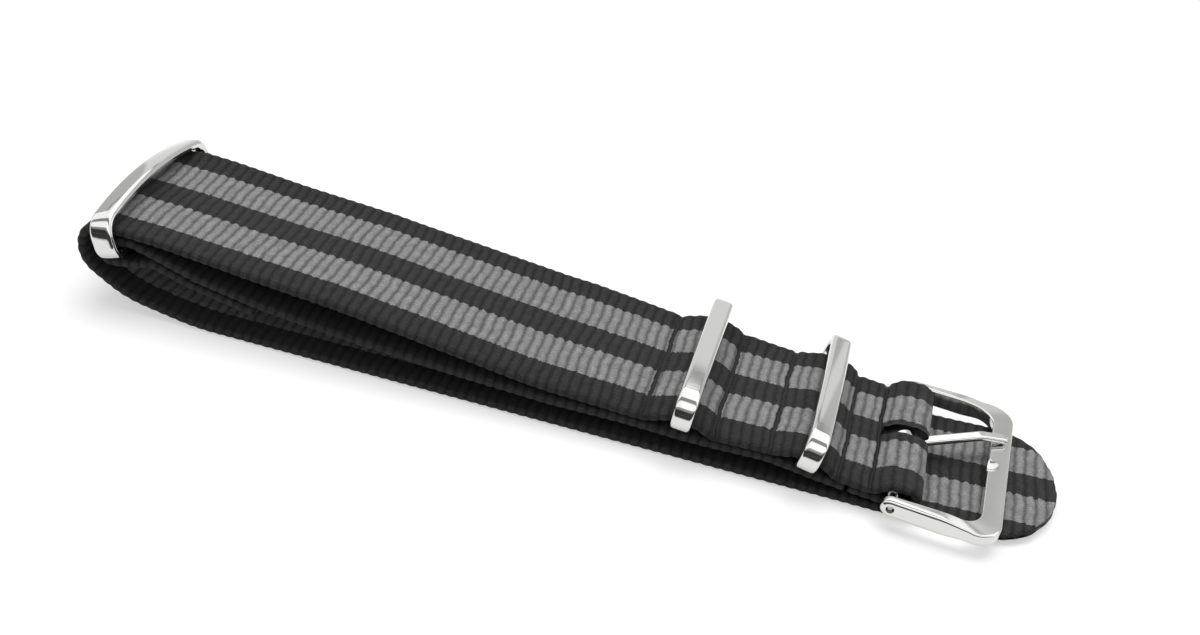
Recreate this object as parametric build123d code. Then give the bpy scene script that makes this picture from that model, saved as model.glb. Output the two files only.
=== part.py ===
from build123d import *
import math
import os

# A one-piece woven watch strap for 20 mm lugs, folded once and lying on a table.
# X runs along the strap towards its tip, Y across it, Z up. The origin is on the
# table face, in the middle of the width, straight below the buckle's pivot bar.
# All sizes are in millimetres.

# Webbing
webbing_width = 20.0
webbing_thickness = 1.0
layer_gap = 0.1
cut_overrun = 0.5

# Welds that join two layers
weld_width = 0.8
weld_groove_width = 0.7
weld_groove_depth = 0.28
weld_bite = 0.2

# Places along the strap, from the pivot bar
first_weld_from_pivot = 2.75
front_channel_from_pivot = 10.05
rear_channel_from_pivot = 23.75
channel_length = 7.5
rear_keeper_place_in_channel = 0.25
flap_ring_from_pivot = 87.9
fold_from_pivot = 91.97
tip_from_pivot = 17.07

# Height of the lower layer's middle at each weld
flap_height_at_first_weld = 1.7
flap_height_at_second_weld = 1.9
flap_height_at_third_weld = 3.05
flap_height_at_fourth_weld = 3.07
flap_height_at_last_weld = 3.55
flap_slope = 4.3

# Main strap
tip_length = 7.0
loop_back_length = 5.0
butt_gap = 0.3
stack_bend_radius = 3.0
run_start_past_weld = 1.2
run_end_before_fold = 9.0
run_height_at_ring = 9.7
fold_height = 10.05
fold_top_radius = 2.6
fold_side_drop = 4.46
fold_side_radius = 3.0
fold_foot_reach = 5.5
fold_foot_height = 2.35
fold_foot_radius = 12.0
fold_landing_reach = 14.7
fold_landing_radius = 28.0
run_bend_radius = 14.0
run_x_shares = (0.07, 0.233, 0.426, 0.633, 0.821)
run_z_shares = (0.067, 0.202, 0.452, 0.712, 0.846)

# Punched holes for the tongue
hole_diameter = 1.8
hole_pitch = 7.0
hole_count = 9
first_hole_from_tip = 28.0

# Slit for the tongue in the buckle loop
slit_width = 3.9
slit_reach_above = 2.6
slit_reach_below = 1.8

# Flap strap
flap_slope_end_past_weld = 1.9
flap_double_length = 14.5
flap_bend_radius = 9.0
flap_x_shares = (0.131, 0.332, 0.531, 0.651, 0.752, 0.864)
flap_z_shares = (0.040, 0.088, 0.175, 0.271, 0.376, 0.568)
flap_loop_neck = 5.2
flap_weld_from_neck = 1.2
flap_weld_spacing = 1.8

# Metal rings, one flat polished band bent into a frame
ring_side_clearance = 0.7
band_width = 2.3
band_thickness = 1.05
ring_corner_radius = 2.1
band_outer_bevel = 0.3
band_inner_bevel = 0.2
keeper_height = 4.65
keeper_crown = 0.25
flap_ring_height = 6.0
flap_ring_crown = 0.75
flap_ring_bar_height = 7.25
front_keeper_lean = 12.0
rear_keeper_lean = 5.0
flap_ring_lean = -17.0
flap_loop_lean = -7.0
channel_clearance = 0.25
channel_side_clearance = 0.15
channel_corner_radius = 0.9
hump_crest_half = 1.3
hump_foot_half = 2.7
hump_bend_radius = 0.8

# Buckle loop of the main strap
bar_diameter = 1.2
bar_clearance = 0.05
tail_gap = 0.05
loop_slack = 1.05
loop_mouth = 0.9
loop_neck = 2.6
loop_bend_radius = 1.2
loop_turn_slack = 0.01

# Buckle frame
frame_side_clearance = 0.75
arm_thickness = 1.2
arm_height = 2.16
arm_taper_from_pivot = 4.8
frame_flare = 0.45
front_bar_width = 2.27
front_bar_thickness = 1.34
front_bar_from_pivot = 11.44
frame_corner_radius = 2.8
window_corner_radius = 1.8
frame_edge_bevel = 0.3
frame_dip = 2.3
frame_yaw = -2.2
frame_place_across = -0.4
pin_hole_diameter = 0.9
notch_radius = 1.25
notch_rise = 0.35

# Tongue
tongue_width = 1.2
tongue_thickness = 0.7
tongue_eye_wall = 0.45
tongue_bend_from_pivot = 7.9
tongue_rise_at_bend = 0.39
tongue_bend_radius = 2.5
tongue_setback_from_edge = 0.64
tongue_gap_over_bar = 0.05
tongue_tip_round = 0.45
tongue_edge_round = 0.15
tongue_yaw = 25.7
tongue_place_across = 0.4

# Spring bar
tube_wall = 0.2
tube_end_setback = 1.4
tip_pin_diameter = 0.8
tip_pin_recess = 0.3
tip_flange_diameter = 1.15
tip_flange_thickness = 0.25
tip_flange_gap = 0.1
tip_stem_clearance = 0.03
tip_stem_engagement = 2.0
spring_wall = 0.12
spring_end_gap = 0.02

# Worked out from the sizes above
half_webbing = webbing_thickness / 2
layer_pitch = webbing_thickness + layer_gap
bar_radius = bar_diameter / 2
loop_inner_radius = bar_radius + bar_clearance
loop_radius = loop_inner_radius + half_webbing
pivot_height = webbing_thickness + tail_gap + loop_inner_radius + webbing_thickness
channel_half = band_thickness / 2 + channel_clearance
ring_width = webbing_width + 2 * (ring_side_clearance + band_thickness)
frame_inner_width = webbing_width + 2 * frame_side_clearance
arm_end_radius = arm_height / 2
last_weld_x = -rear_channel_from_pivot - channel_length / 2
front_keeper_x = -front_channel_from_pivot
rear_keeper_x = -rear_channel_from_pivot + rear_keeper_place_in_channel
buckle_place = Pos(0, frame_place_across, pivot_height) * Rot(0, 0, frame_yaw) * Rot(0, frame_dip, 0)

# Where the layers are welded, and the height of the lower one's middle there
welds = (
    (-first_weld_from_pivot, flap_height_at_first_weld),
    (-front_channel_from_pivot + channel_length / 2, flap_height_at_second_weld),
    (-front_channel_from_pivot - channel_length / 2, flap_height_at_third_weld),
    (-rear_channel_from_pivot + channel_length / 2, flap_height_at_fourth_weld),
    (last_weld_x, flap_height_at_last_weld),
)


def flap_lean(x):
    """Slope of the lower layer at a place along the strap, in degrees."""
    for front, rear in zip(welds, welds[1:]):
        if x > rear[0]:
            return math.degrees(math.atan2(rear[1] - front[1], front[0] - rear[0]))
    return flap_slope


def flap_z(x):
    """Height of the lower layer's middle surface at a place along the strap."""
    node = welds[0]
    for weld in welds[1:]:
        if x < weld[0]:
            node = weld
    return node[1] + (node[0] - x) * math.tan(math.radians(flap_lean(x)))


def turned(across, up, lean, place):
    """A point of a tilted piece: lean tips its up direction towards +X, in degrees."""
    c = math.cos(math.radians(lean))
    s = math.sin(math.radians(lean))
    return (place[0] + across * c + up * s, place[1] - across * s + up * c)


def unit(a, b):
    length = math.dist(a, b)
    return ((b[0] - a[0]) / length, (b[1] - a[1]) / length)


def offset_line(points, distance):
    """The corners of a run of straight lines moved to its left by a distance."""
    ways = [unit(a, b) for a, b in zip(points, points[1:])]
    ways = [ways[0]] + ways + [ways[-1]]
    moved = []
    for point, before, after in zip(points, ways, ways[1:]):
        bisector = (-(before[1] + after[1]), before[0] + after[0])
        stretch = distance / (1 + before[0] * after[0] + before[1] * after[1])
        moved.append((point[0] + bisector[0] * stretch, point[1] + bisector[1] * stretch))
    return moved


def offset_radii(points, radii, distance):
    """The bend radii of that moved line, so that its arcs stay concentric."""
    ways = [unit(a, b) for a, b in zip(points, points[1:])]
    out = []
    for radius, before, after in zip(radii, ways, ways[1:]):
        turn = before[0] * after[1] - before[1] * after[0]
        out.append(radius - distance if turn > 0 else radius + distance)
    return out


def webbing(points, radii):
    """Webbing of constant thickness along a side view of straight runs and arcs."""
    sides = []
    for distance in (half_webbing, -half_webbing):
        corners = offset_line(points, distance)
        sides.append(FilletPolyline(*corners, radius=offset_radii(points, radii, distance)))
    left, right = sides
    ends = Line(left @ 0, right @ 0) + Line(left @ 1, right @ 1)
    profile = make_face(left + right + ends)
    return extrude(Plane.XZ * profile, amount=webbing_width / 2, both=True)


def prism(corners, width=webbing_width):
    """A side-view polygon carried across the strap."""
    face = make_face(Polyline(*corners, close=True))
    return extrude(Plane.XZ * face, amount=width / 2, both=True)


def keeper_place(x):
    """Centre of a keeper's lower bar, in its channel on top of the flap."""
    lean = flap_lean(x)
    return turned(0, half_webbing + channel_half, lean, (x, flap_z(x))), lean


def hump(x):
    """The main strap's middle line over a keeper's bar, from front to rear."""
    place, lean = keeper_place(x)
    foot = -channel_half + layer_gap + half_webbing
    crest = channel_half + half_webbing
    shape = (
        (hump_foot_half, foot),
        (hump_crest_half, crest),
        (-hump_crest_half, crest),
        (-hump_foot_half, foot),
    )
    return [turned(across, up, lean, place) for across, up in shape]


def flap_ring_loop():
    """The flap's middle line round the flap ring's bar, from upper right to lower right."""
    reach = band_width / 2 + channel_side_clearance + half_webbing
    rise = channel_half + half_webbing
    place = (-flap_ring_from_pivot, flap_ring_bar_height)
    shape = ((reach, rise), (-reach, rise), (-reach, -rise), (reach, -rise))
    return [turned(across, up, flap_loop_lean, place) for across, up in shape]


def main_strap_line():
    """Middle line of the main strap, from its looped-back end to its tip."""
    loop_low = pivot_height - loop_radius
    loop_high = pivot_height + loop_radius
    loop_end = loop_slack + loop_radius
    points = [
        (-loop_back_length, flap_z(-loop_back_length)),
        (-loop_neck, flap_z(-loop_neck)),
        (-loop_mouth, loop_low),
        (loop_end, loop_low),
        (loop_end, loop_high),
        (-loop_mouth, loop_high),
        (-loop_neck, flap_z(-loop_neck) + layer_pitch),
        (welds[1][0], welds[1][1] + layer_pitch),
    ]
    turn = loop_radius - loop_turn_slack
    radii = [loop_bend_radius, loop_bend_radius, turn, turn, loop_bend_radius, loop_bend_radius]
    radii.append(stack_bend_radius)
    points += hump(front_keeper_x)
    radii += [hump_bend_radius] * 4
    points += [(x, z + layer_pitch) for x, z in welds[2:4]]
    radii += [stack_bend_radius] * 2
    points += hump(rear_keeper_x)
    radii += [hump_bend_radius] * 4

    run_start = last_weld_x - run_start_past_weld
    run_start_z = flap_z(run_start) + layer_pitch
    run_end = run_end_before_fold - fold_from_pivot
    points.append((run_start, run_start_z))
    for x_share, z_share in zip(run_x_shares, run_z_shares):
        x = run_start + x_share * (run_end - run_start)
        z = run_start_z + z_share * (run_height_at_ring - run_start_z)
        points.append((x, z))
    points.append((run_end, run_height_at_ring))
    radii += [run_bend_radius] * (len(run_x_shares) + 2)

    side_foot = fold_height - fold_side_drop
    points += [
        (-fold_from_pivot, fold_height),
        (-fold_from_pivot, side_foot),
        (fold_foot_reach - fold_from_pivot, fold_foot_height),
        (fold_landing_reach - fold_from_pivot, half_webbing),
        (tip_from_pivot, half_webbing),
    ]
    radii += [fold_top_radius, fold_side_radius, fold_foot_radius, fold_landing_radius]
    return points, radii


def flap_line():
    """Middle line of the flap, from its front end round the flap ring and back."""
    slope_end = last_weld_x - flap_slope_end_past_weld
    slope_end_z = flap_z(slope_end)
    front_end = -loop_back_length - butt_gap
    loop = flap_ring_loop()
    points = [(front_end, flap_z(front_end))]
    points += welds[1:]
    points.append((slope_end, slope_end_z))
    for x_share, z_share in zip(flap_x_shares, flap_z_shares):
        x = slope_end + x_share * (loop[0][0] - slope_end)
        z = slope_end_z + z_share * (loop[0][1] - slope_end_z)
        points.append((x, z))
    radii = [stack_bend_radius] * (len(welds) - 1)
    radii += [flap_bend_radius] * (len(flap_x_shares) + 1)
    upper = points[-2:] + loop[:1]
    under = offset_line(upper, layer_pitch)
    neck = under[1]
    way = unit(neck, under[2])
    neck_top = (neck[0] + way[0] * flap_loop_neck, neck[1] + way[1] * flap_loop_neck)
    end_way = unit(neck, under[0])
    run_out = flap_double_length - flap_loop_neck - band_width
    end = (neck[0] + end_way[0] * run_out, neck[1] + end_way[1] * run_out)
    points += loop + [neck_top, neck, end]
    radii += [channel_corner_radius] * 4
    radii += [loop_bend_radius, flap_bend_radius - layer_pitch]
    return points, radii


def weld_lean(x):
    """Lean of the welded layers at a weld, between the slopes before and after it."""
    return (flap_lean(x + weld_width) + flap_lean(x - weld_width)) / 2


def weld_rib(place, lean, low):
    """A rib of melted webbing from one layer, at the given place, into the layer above."""
    high = half_webbing + layer_gap + weld_bite
    half = weld_width / 2
    shape = ((half, low), (half, high), (-half, high), (-half, low))
    return prism([turned(across, up, lean, place) for across, up in shape])


def weld_groove(x, z):
    """The dent that the welding edge leaves in the top face."""
    place = (x, z + layer_pitch)
    half = weld_groove_width / 2
    top = half_webbing + cut_overrun
    wide = half * (cut_overrun + weld_groove_depth) / weld_groove_depth
    shape = ((wide, top), (0, half_webbing - weld_groove_depth), (-wide, top))
    corners = [turned(across, up, weld_lean(x), place) for across, up in shape]
    return prism(corners, webbing_width + cut_overrun)


def tongue_slit():
    """The opening in the buckle loop that the tongue comes through."""
    high = pivot_height + loop_radius + webbing_thickness
    low = pivot_height - loop_inner_radius - webbing_thickness - tail_gap / 2
    end = loop_slack + loop_radius + webbing_thickness
    upper = prism(
        ((-slit_reach_above, pivot_height), (-slit_reach_above, high), (end, high), (end, pivot_height)),
        slit_width,
    )
    lower = prism(
        ((-slit_reach_below, low), (-slit_reach_below, pivot_height), (end, pivot_height), (end, low)),
        slit_width,
    )
    return upper + lower


def rounded_tip_cutter():
    """What is trimmed off the square end to leave the rounded tip."""
    start = tip_from_pivot - tip_length
    height = webbing_thickness + 2 * cut_overrun
    blank = Box(
        tip_length + cut_overrun,
        webbing_width + 2 * cut_overrun,
        height,
        align=(Align.MIN, Align.CENTER, Align.CENTER),
    )
    keep = extrude(Ellipse(tip_length, webbing_width / 2), amount=height, both=True)
    return Pos(start, 0, half_webbing) * (blank - keep)


def punched_holes():
    holes = []
    for index in range(hole_count):
        x = tip_from_pivot - first_hole_from_tip - index * hole_pitch
        holes.append(
            Pos(x, 0, half_webbing)
            * Cylinder(hole_diameter / 2, webbing_thickness + tail_gap)
        )
    return holes


def main_strap():
    points, radii = main_strap_line()
    strap = webbing(points, radii)
    for x, z in welds:
        strap += weld_rib((x, z), weld_lean(x), half_webbing)
        strap -= weld_groove(x, z)
    strap -= tongue_slit()
    strap -= rounded_tip_cutter()
    strap -= punched_holes()
    return strap


def flap_strap():
    points, radii = flap_line()
    flap = webbing(points, radii)
    neck, end = points[-2:]
    way = unit(neck, end)
    lean = -math.degrees(math.atan2(way[1], way[0]))
    for distance in (flap_weld_from_neck, flap_weld_from_neck + flap_weld_spacing):
        place = turned(distance, 0, lean, neck)
        flap += weld_rib(place, lean, half_webbing - weld_bite)
    return flap


def ring(height, crown, lean, place):
    """A flat band bent into a closed frame, standing on its lower bar."""
    half = ring_width / 2
    foot = -band_thickness / 2
    shoulder = foot + height - crown
    sides = Polyline((half, shoulder), (half, foot), (-half, foot), (-half, shoulder))
    top = ThreePointArc((half, shoulder), (0, foot + height), (-half, shoulder))
    outline = make_face(sides + top)
    outline = fillet(outline.vertices(), ring_corner_radius)
    inside = offset(outline, amount=-band_thickness)
    band = extrude(outline - inside, amount=band_width / 2, both=True)
    faces = band.faces().sort_by(Axis.Z)
    outer = faces[0].outer_wire().edges() + faces[-1].outer_wire().edges()
    band = chamfer(outer, band_outer_bevel)
    faces = band.faces().sort_by(Axis.Z)
    inner = faces[0].inner_wires()[0].edges() + faces[-1].inner_wires()[0].edges()
    band = chamfer(inner, band_inner_bevel)
    across = math.cos(math.radians(lean))
    drop = math.sin(math.radians(lean))
    stand = Plane(origin=(place[0], 0, place[1]), x_dir=(0, 1, 0), z_dir=(across, 0, -drop))
    return stand * band


def frame_body():
    """The frame's flat front bar and arms on edge: a side view cut by a plan view."""
    half_bar = front_bar_thickness / 2
    rear_half = frame_inner_width / 2 + arm_thickness
    front_half = rear_half + frame_flare
    shoulder = front_bar_from_pivot - front_bar_width
    side = Polyline(
        (0, arm_end_radius),
        (arm_taper_from_pivot, arm_end_radius),
        (shoulder, half_bar),
        (front_bar_from_pivot, half_bar),
        (front_bar_from_pivot, -half_bar),
        (shoulder, -half_bar),
        (arm_taper_from_pivot, -arm_end_radius),
        (0, -arm_end_radius),
    )
    nose = ThreePointArc((0, -arm_end_radius), (-arm_end_radius, 0), (0, arm_end_radius))
    body = extrude(Plane.XZ * make_face(side + nose), amount=front_half, both=True)
    plan = make_face(
        Polyline(
            (-arm_end_radius, rear_half),
            (front_bar_from_pivot, front_half),
            (front_bar_from_pivot, -front_half),
            (-arm_end_radius, -rear_half),
            close=True,
        )
    )
    plan = fillet(plan.vertices().sort_by(Axis.X)[-2:], frame_corner_radius)
    window = Pos((shoulder - 2 * arm_end_radius) / 2, 0) * Rectangle(
        shoulder + 2 * arm_end_radius, frame_inner_width
    )
    window = fillet(window.vertices().sort_by(Axis.X)[-2:], window_corner_radius)
    return body & extrude(plan - window, amount=2 * arm_end_radius, both=True)


def buckle_frame():
    """One-piece frame with bevelled outer edges, pin holes and a notch for the tongue."""
    body = frame_body()
    rear_half = frame_inner_width / 2 + arm_thickness
    corner = front_bar_from_pivot - frame_corner_radius / 2
    outer = []
    for edge in body.edges():
        middle = edge.center()
        on_rim = abs(middle.Z) > front_bar_thickness / 4
        if on_rim and (abs(middle.Y) > rear_half or middle.X > corner):
            outer.append(edge)
    body = chamfer(outer, frame_edge_bevel)
    hole = Rot(90, 0, 0) * Cylinder(pin_hole_diameter / 2, 2 * frame_inner_width)
    shoulder = front_bar_from_pivot - front_bar_width
    notch = Pos(shoulder, -frame_place_across, front_bar_thickness / 2 + notch_rise) * Sphere(notch_radius)
    return buckle_place * (body - hole - notch)


def buckle_tongue():
    """A bent blade whose loose eye lets it lie askew on the front bar."""
    skew = math.radians(tongue_yaw)
    half_width = tongue_width / 2
    eye_inner = (bar_radius + bar_clearance) / math.cos(skew) + half_width * math.tan(skew)
    eye_outer = eye_inner + tongue_eye_wall
    rest = front_bar_thickness / 2 + tongue_gap_over_bar + tongue_thickness / 2
    bend = (tongue_bend_from_pivot / math.cos(skew), rest + tongue_rise_at_bend)
    tip = ((front_bar_from_pivot - tongue_setback_from_edge) / math.cos(skew), rest)
    way = unit((0, 0), bend)
    root = (way[0] * (eye_inner + eye_outer) / 2, way[1] * (eye_inner + eye_outer) / 2)
    line = (root, bend, tip)
    sides = []
    for distance in (tongue_thickness / 2, -tongue_thickness / 2):
        radius = offset_radii(line, [tongue_bend_radius], distance)
        sides.append(FilletPolyline(*offset_line(line, distance), radius=radius))
    upper, lower = sides
    ends = Line(upper @ 0, lower @ 0) + Line(upper @ 1, lower @ 1)
    tongue = extrude(Plane.XZ * make_face(upper + lower + ends), amount=half_width, both=True)
    end = tongue.faces().sort_by(Axis.X)[-1]
    tongue = fillet(end.edges().filter_by(Axis.Y, reverse=True), tongue_tip_round)
    rim = tongue.faces().sort_by(Axis.Z)[-1].edges()
    tongue = fillet(rim, tongue_edge_round)
    tongue += Rot(90, 0, 0) * Cylinder(eye_outer, tongue_width)
    tongue -= Rot(90, 0, 0) * Cylinder(eye_inner, tongue_width + cut_overrun)
    return buckle_place * Pos(0, tongue_place_across, 0) * Rot(0, 0, tongue_yaw) * tongue


def spring_bar_tube():
    half = frame_inner_width / 2 - tube_end_setback
    tube = Cylinder(bar_radius, 2 * half) - Cylinder(bar_radius - tube_wall, 2 * half + cut_overrun)
    return buckle_place * Rot(90, 0, 0) * tube


def spring_bar_tip(side):
    """A sprung tip: stem in the tube, flange, and the pin that enters the arm."""
    arm_face = frame_inner_width / 2
    flange_out = arm_face - tip_flange_gap
    flange_in = flange_out - tip_flange_thickness
    stem_in = arm_face - tube_end_setback - tip_stem_engagement
    pin_out = arm_face + arm_thickness - tip_pin_recess
    stem_radius = bar_radius - tube_wall - tip_stem_clearance
    stages = (
        (stem_radius, stem_in, flange_in),
        (tip_flange_diameter / 2, flange_in, flange_out),
        (tip_pin_diameter / 2, flange_out, pin_out),
    )
    pieces = Part()
    for radius, low, high in stages:
        pieces += Pos(0, 0, low) * Cylinder(
            radius, high - low, align=(Align.CENTER, Align.CENTER, Align.MIN)
        )
    return buckle_place * Rot(-90 * side, 0, 0) * pieces


def spring_bar_spring():
    """The coil between the tips, as a sleeve of its outer and inner size."""
    stem_in = frame_inner_width / 2 - tube_end_setback - tip_stem_engagement
    outer = bar_radius - tube_wall - tip_stem_clearance
    length = 2 * (stem_in - spring_end_gap)
    sleeve = Cylinder(outer, length) - Cylinder(outer - spring_wall, length + cut_overrun)
    return buckle_place * Rot(90, 0, 0) * sleeve


def build():
    front_place, _ = keeper_place(front_keeper_x)
    rear_place, _ = keeper_place(rear_keeper_x)
    flap_ring_place = (-flap_ring_from_pivot, flap_ring_bar_height)
    return {
        "main_strap": main_strap(),
        "flap_strap": flap_strap(),
        "front_keeper": ring(keeper_height, keeper_crown, front_keeper_lean, front_place),
        "rear_keeper": ring(keeper_height, keeper_crown, rear_keeper_lean, rear_place),
        "flap_ring": ring(flap_ring_height, flap_ring_crown, flap_ring_lean, flap_ring_place),
        "buckle_frame": buckle_frame(),
        "buckle_tongue": buckle_tongue(),
        "spring_bar_tube": spring_bar_tube(),
        "spring_bar_tip_near": spring_bar_tip(-1),
        "spring_bar_tip_far": spring_bar_tip(1),
        "spring_bar_spring": spring_bar_spring(),
    }


os.makedirs("parts", exist_ok=True)
for name, solid in build().items():
    export_step(solid, f"parts/{name}.step")
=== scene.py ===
from functools import partial
from math import atan2, copysign, cos, pi, radians, sin, sqrt, tan

import bmesh
import bpy
import numpy as np
from mathutils import Matrix, Vector


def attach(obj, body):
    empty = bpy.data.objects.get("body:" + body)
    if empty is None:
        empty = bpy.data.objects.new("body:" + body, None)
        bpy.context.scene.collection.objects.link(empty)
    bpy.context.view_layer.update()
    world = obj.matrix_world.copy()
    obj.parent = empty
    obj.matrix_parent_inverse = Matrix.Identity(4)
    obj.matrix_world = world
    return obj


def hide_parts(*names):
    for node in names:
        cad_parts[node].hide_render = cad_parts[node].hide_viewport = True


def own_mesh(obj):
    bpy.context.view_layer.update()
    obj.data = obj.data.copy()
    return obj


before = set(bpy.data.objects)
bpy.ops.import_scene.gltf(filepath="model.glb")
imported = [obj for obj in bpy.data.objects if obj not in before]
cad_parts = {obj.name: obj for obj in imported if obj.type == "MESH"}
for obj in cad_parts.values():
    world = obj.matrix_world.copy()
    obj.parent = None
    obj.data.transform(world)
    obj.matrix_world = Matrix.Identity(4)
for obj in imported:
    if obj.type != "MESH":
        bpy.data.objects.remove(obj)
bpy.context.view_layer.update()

mm = 0.001

# All sizes below are in millimetres and all angles in degrees, unless a name says otherwise.
# X runs along the strap towards its tip, Y across it and Z up, from below the buckle's pivot bar.

# The camera stands where the photograph was taken from, fitted to the strap's edges on the table.
photo_width_px = 1200
focal_length_px = 1541
sensor_width = 36
camera_place = (-12.675, -141.425, 99.192)
camera_right = (0.959464, 0.244177, 0.140736)
camera_up = (-0.247970, 0.494077, 0.833306)

# Webbing. The ribs are the weft cords, and the fine threads over them the warp.
half_webbing = 0.5
half_width = 10.0
rib_pitch = 1.141
rib_depth = 0.08
rib_roundness = 1.4  # 1 is a half sine, and more makes the furrows broader
rib_rows = (0.0, 0.12, 0.24, 0.37, 0.5, 0.63, 0.76, 0.88)  # the mesh's rows, as shares of a rib
selvedge_start = 9.5
notched_from = 9.0
selvedge_notch = 0.06
stripe_inner_edge = 1.96
stripe_outer_edge = 6.88
stripe_edge_blur = 0.05
warp_pitch = 0.34
tip_length = 7.0
# Three waves that the weft bows in: size, then turn in radians per millimetre across and along.
weft_bow = ((0.08, 0.55, 0.11), (0.05, 1.7, -0.37), (0.035, 4.1, 1.9))

# Middle line of the main strap, from its looped-back end to its tip: X, Z and bend radius.
main_line = (
    (-5.0, 1.827, 0), (-2.6, 1.692, 1.2), (-0.9, 1.55, 1.2), (2.2, 1.55, 1.14),
    (2.2, 3.85, 1.14), (-0.9, 3.85, 1.2), (-2.6, 2.792, 1.2), (-6.3, 3.0, 2.0),
    (-7.7, 4.05, 1.0), (-8.8, 4.42, 1.0), (-11.0, 4.75, 1.0), (-12.1, 4.45, 1.0),
    (-13.8, 4.15, 1.5), (-20.0, 4.17, 2.0), (-21.5, 5.0, 1.0), (-22.4, 5.33, 1.0),
    (-24.6, 5.47, 1.0), (-25.6, 5.2, 1.0), (-27.3, 4.66, 2.0), (-28.7, 4.74, 14),
    (-32.499, 5.073, 14), (-41.345, 5.742, 14), (-51.819, 6.982, 14), (-63.053, 8.272, 14),
    (-73.256, 8.936, 14), (-82.97, 9.7, 14), (-92.25, 10.06, 2.6), (-92.3, 5.3, 3.2),
    (-87.0, 2.0, 12), (-78.6, 0.5, 26), (4.0, 0.5, 60), (17.07, 1.07, 0),
)
# Middle line of the flap, from its front end round the flap ring's bar and back under itself.
flap_line = (
    (-5.3, 1.844, 0), (-6.3, 1.9, 2.0), (-8.5, 2.08, 2.0), (-11.3, 2.48, 2.0),
    (-13.8, 3.05, 2.0), (-20.0, 3.07, 3.0), (-27.5, 3.55, 3.0), (-29.4, 3.693, 9),
    (-36.85, 3.895, 9), (-48.28, 4.137, 9), (-59.597, 4.575, 9), (-66.422, 5.059, 9),
    (-72.165, 5.589, 9), (-78.535, 6.557, 9), (-86.269, 8.735, 0.9), (-89.842, 8.296, 0.9),
    (-89.531, 5.765, 0.9), (-85.958, 6.204, 0.9), (-83.773, 6.889, 1.2), (-78.767, 5.479, 7.9),
    (-71.847, 4.428, 0),
)
line_step = 0.02
softening_steps = 10

# The strap lies a little twisted: how far it leans at places along it, far side up positive.
twist_x = (-75.0, -55.0, -38.0, -28.0, -21.0, -15.0, -8.0, 0.0)
twist_degrees = (0.0, 1.6, 3.2, 0.8, -0.3, -1.7, -1.2, 0.0)
# How far the far selvedge curls up and the near one droops, along X, growing to the edge.
curl_x = (-91.0, -87.0, -75.0, -60.0, -26.0, -22.0, -20.3, -16.0, -12.0, -9.0, -7.2, -4.0, 1.0, 3.0)
curl_rise = (0.0, 0.8, 0.55, 0.3, 0.3, 0.55, 0.75, 0.45, 0.3, 0.45, 0.65, 0.35, 0.3, 0.0)
droop_x = (-84.0, -72.0, -50.0, -30.0, -4.0, -1.0)
droop_fall = (0.0, 0.3, 0.45, 0.5, 0.45, 0.0)
# Where the webbing is bent sharply over the pivot bar, its near selvedge spreads outwards.
spread_x = (-6.0, -3.0, 1.0, 3.0)
spread_out = (0.0, 0.45, 0.45, 0.2)
soft_edge_start = 6.6
soft_edge_reach = 3.4
# Only the upper layers do so: from one height, fully so a little higher.
twisted_above, twisted_over = 1.2, 0.6
curled_above, curled_over = 2.5, 0.8
spread_above, spread_over = 2.2, 0.8

weld_x = (-2.75, -6.3, -13.8, -20.0, -27.5)
weld_depth = 0.3
weld_half_width = 0.34
weld_melted_reach = 0.5
weld_melted = 1.1
weld_flattening = 0.7  # of the ribs' relief
hole_radius = 0.9
hole_pitch = 7.0
hole_count = 9
first_hole_from_tip = 28.0
slit_half_width = 0.75
slit_middle = 0.32
slit_from_x = -1.8  # on the loop's lower side
slit_to_x = -2.6  # on its upper side
punched_melted_reach = 0.55
punched_melted = 0.9
sealed_edge = 0.5

# Rings: one flat polished band each, bent into a frame and closed.
ring_half_width = 11.75
band_thickness = 1.05
band_edge_radius = 0.42
ring_upper_corner = 2.55
ring_lower_corner = 2.05
# Of each: its height, its upper bar's crown, the band's width and the bulge of its faces, how
# far it leans, the lower bar's X and Z, its body and the solid that it replaces.
rings = {
    "front_keeper_band": (4.87, 0.25, 2.3, 0.012, 12, (-9.857, 3.735), "front_ring", "front_keeper"),
    "rear_keeper_band": (4.87, 0.25, 2.3, 0.012, 5, (-23.419, 4.546), "rear_ring", "rear_keeper"),
    "flap_ring_band": (6.2, 0.95, 2.55, 0.05, -17, (-88.0, 7.22), "end_ring", "flap_ring"),
}

# Buckle, in its own frame: X forward from the spring bar, Y across, Z up.
pivot_height = 2.7
frame_place_across = -0.4
frame_yaw = -2.2
frame_dip = 2.3
frame_inner_half = 10.75
arm_thickness = 1.2
arm_half_height = 1.08
arm_taper_from = 4.8
frame_flare = 0.45
front_edge = 11.44
front_bar_width = 2.27
front_bar_half = 0.67
front_rounding_before_edge = 2.5
frame_outer_corner = 2.8
frame_inner_corner = 2.4
edge_rounding = ((0.36, 0.14), (0.5, 0.28))  # inner and outer edges, each on arm and front bar
pin_hole_radius = 0.45
pin_hole_reach = 14
notch_radius = 1.6
notch_rise = 1.08
tongue_width = 1.2
tongue_thickness = 0.7
tongue_eye_wall = 0.45
tongue_eye_edge_radius = 0.12
tongue_bend_from_pivot = 7.9
tongue_rise_at_bend = 0.39
tongue_bend_radius = 2.5
tongue_setback = 0.64
tongue_gap_over_bar = 0.05
tongue_edge_radius = 0.27
tongue_tip_share = 0.45
tongue_yaw = 25.7
tongue_place_across = 0.4

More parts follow.
